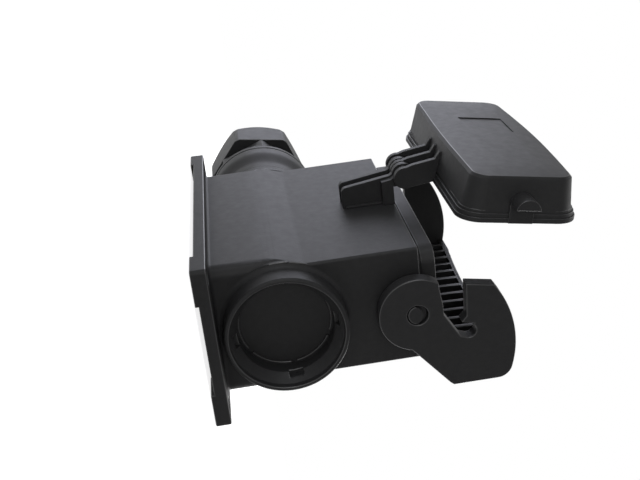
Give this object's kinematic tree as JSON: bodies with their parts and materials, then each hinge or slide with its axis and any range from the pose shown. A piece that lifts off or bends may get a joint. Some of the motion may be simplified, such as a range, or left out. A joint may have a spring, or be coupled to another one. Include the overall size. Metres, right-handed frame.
{
  "type": "surface-mounting connector housing",
  "caption": "Black moulded surface-mounting connector housing with a flange, round cable entries, a cable gland, a hinged cover and a hooked locking lever.",
  "frame": {"origin": "centre of the mounting face, level with the underside of the four corner pads", "axes": "+Z out of the mouth towards the mated hood, +X along the cable entries towards the gland, +Y towards the hinge"},
  "size_m": [0.1927, 0.0746, 0.1361],
  "materials": {
    "black_plastic": "matte",
    "rubber": "matte",
    "brass": "satin",
    "steel": "satin"
  },
  "bodies": {
    "housing": {"housing_shell": "black_plastic", "insert_bushes": "brass", "hinge_bracket": "black_plastic", "hinge_pin": "steel", "entry_adapter": "black_plastic", "adapter_seal": "rubber", "gland_gasket": "rubber", "gland_body": "black_plastic", "gland_seal": "rubber", "gland_nut": "black_plastic"},
    "cover": {"cover": "black_plastic", "cover_seal": "rubber"},
    "lever": {"locking_lever": "black_plastic"}
  },
  "joints": [
    {"name": "cover_hinge", "type": "hinge", "parent": "housing", "child": "cover", "pos_m": [0, 0.032, 0.0815], "axis": [-1, 0, 0], "range_deg": [-50, 95]},
    {"name": "lever_pivot", "type": "hinge", "parent": "housing", "child": "lever", "pos_m": [0, 0, 0.074], "axis": [1, 0, 0], "range_deg": [0, 55]}
  ]
}
